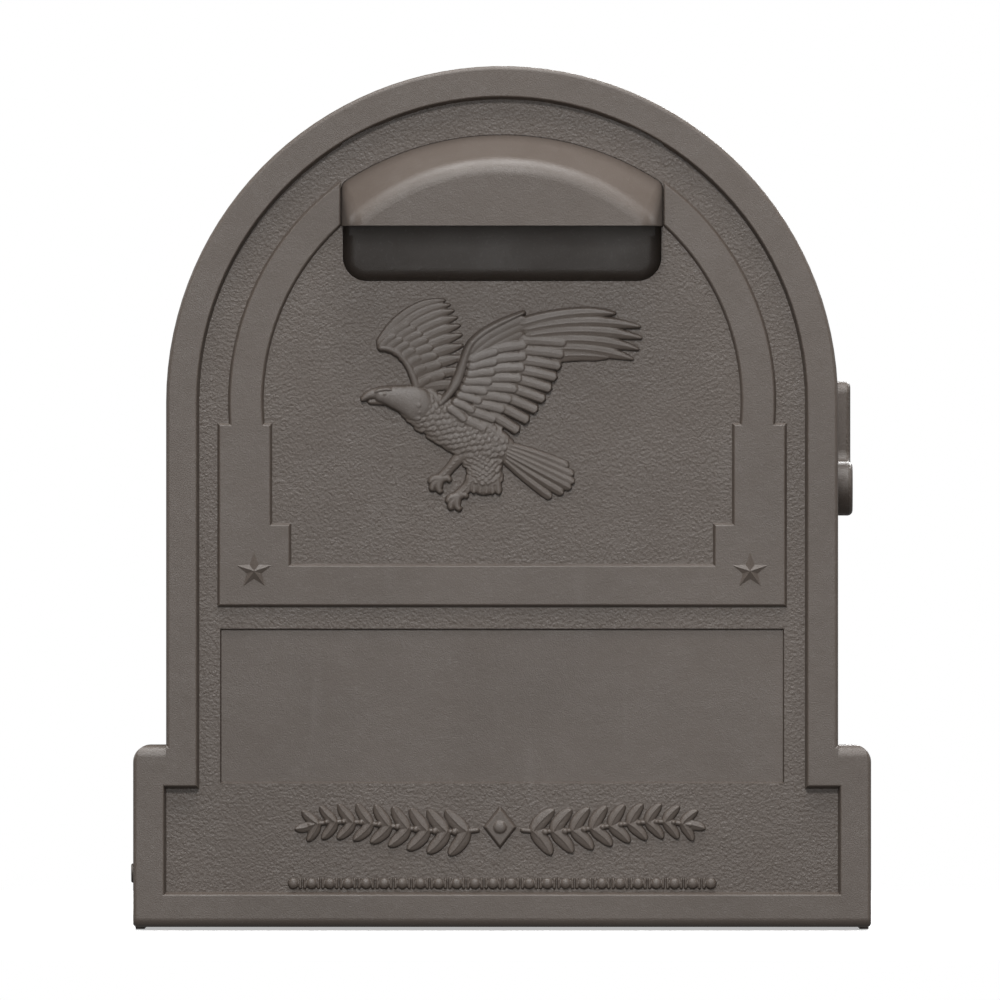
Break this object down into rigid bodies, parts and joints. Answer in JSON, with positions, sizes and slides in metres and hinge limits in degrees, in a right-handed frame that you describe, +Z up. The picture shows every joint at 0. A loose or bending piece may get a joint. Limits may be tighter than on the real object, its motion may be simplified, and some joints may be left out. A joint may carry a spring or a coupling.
{
  "type": "post-mount mailbox",
  "caption": "Arched kerbside mailbox for a post: drop-down front door with a hooded finger pull, signal flag on the right, hollow skirt that fits over a mounting board.",
  "frame": {"origin": "middle of the footprint, on the surface that the skirt stands on", "axes": "+X to the right seen from the front (the flag's side), the front door faces -Y, +Z up"},
  "size_m": [0.2447, 0.518, 0.2857],
  "materials": {
    "bronze_plastic": "moulded, fine pebble grain",
    "floor_plastic": "moulded, fine grain",
    "black_plastic": "moulded",
    "nylon": "natural nylon",
    "pin_steel": "coated bronze",
    "zinc_steel": "zinc plated",
    "dark_steel": "dark coated steel",
    "ferrite": "sintered"
  },
  "bodies": {
    "box": {"body_shell": "bronze_plastic", "floor_pan": "floor_plastic", "floor_screws": "zinc_steel", "rear_cover": "bronze_plastic", "rear_cover_screws": "dark_steel", "catch_housing": "black_plastic", "catch_magnet": "ferrite", "catch_pole_plates": "zinc_steel", "catch_screws": "zinc_steel", "flag_pivot_bolt": "dark_steel", "flag_friction_washer": "nylon", "flag_flat_washer": "zinc_steel", "flag_spring_washer": "zinc_steel", "flag_nut": "zinc_steel"},
    "door": {"door_panel": "bronze_plastic", "door_handle": "bronze_plastic", "handle_screws": "zinc_steel", "strike_plate": "zinc_steel", "strike_rivets": "zinc_steel", "hinge_pin_left": "pin_steel", "hinge_pin_right": "pin_steel"},
    "flag": {"signal_flag": "bronze_plastic", "flag_bushing": "nylon"}
  },
  "joints": [
    {"name": "door_hinge", "type": "hinge", "parent": "box", "child": "door", "pos_m": [0, -0.2295, 0.0188], "axis": [1, 0, 0], "range_deg": [0, 90]},
    {"name": "flag_hinge", "type": "hinge", "parent": "box", "child": "flag", "pos_m": [0.1138, -0.12, 0.146], "axis": [1, 0, 0], "range_deg": [0, 90]}
  ]
}
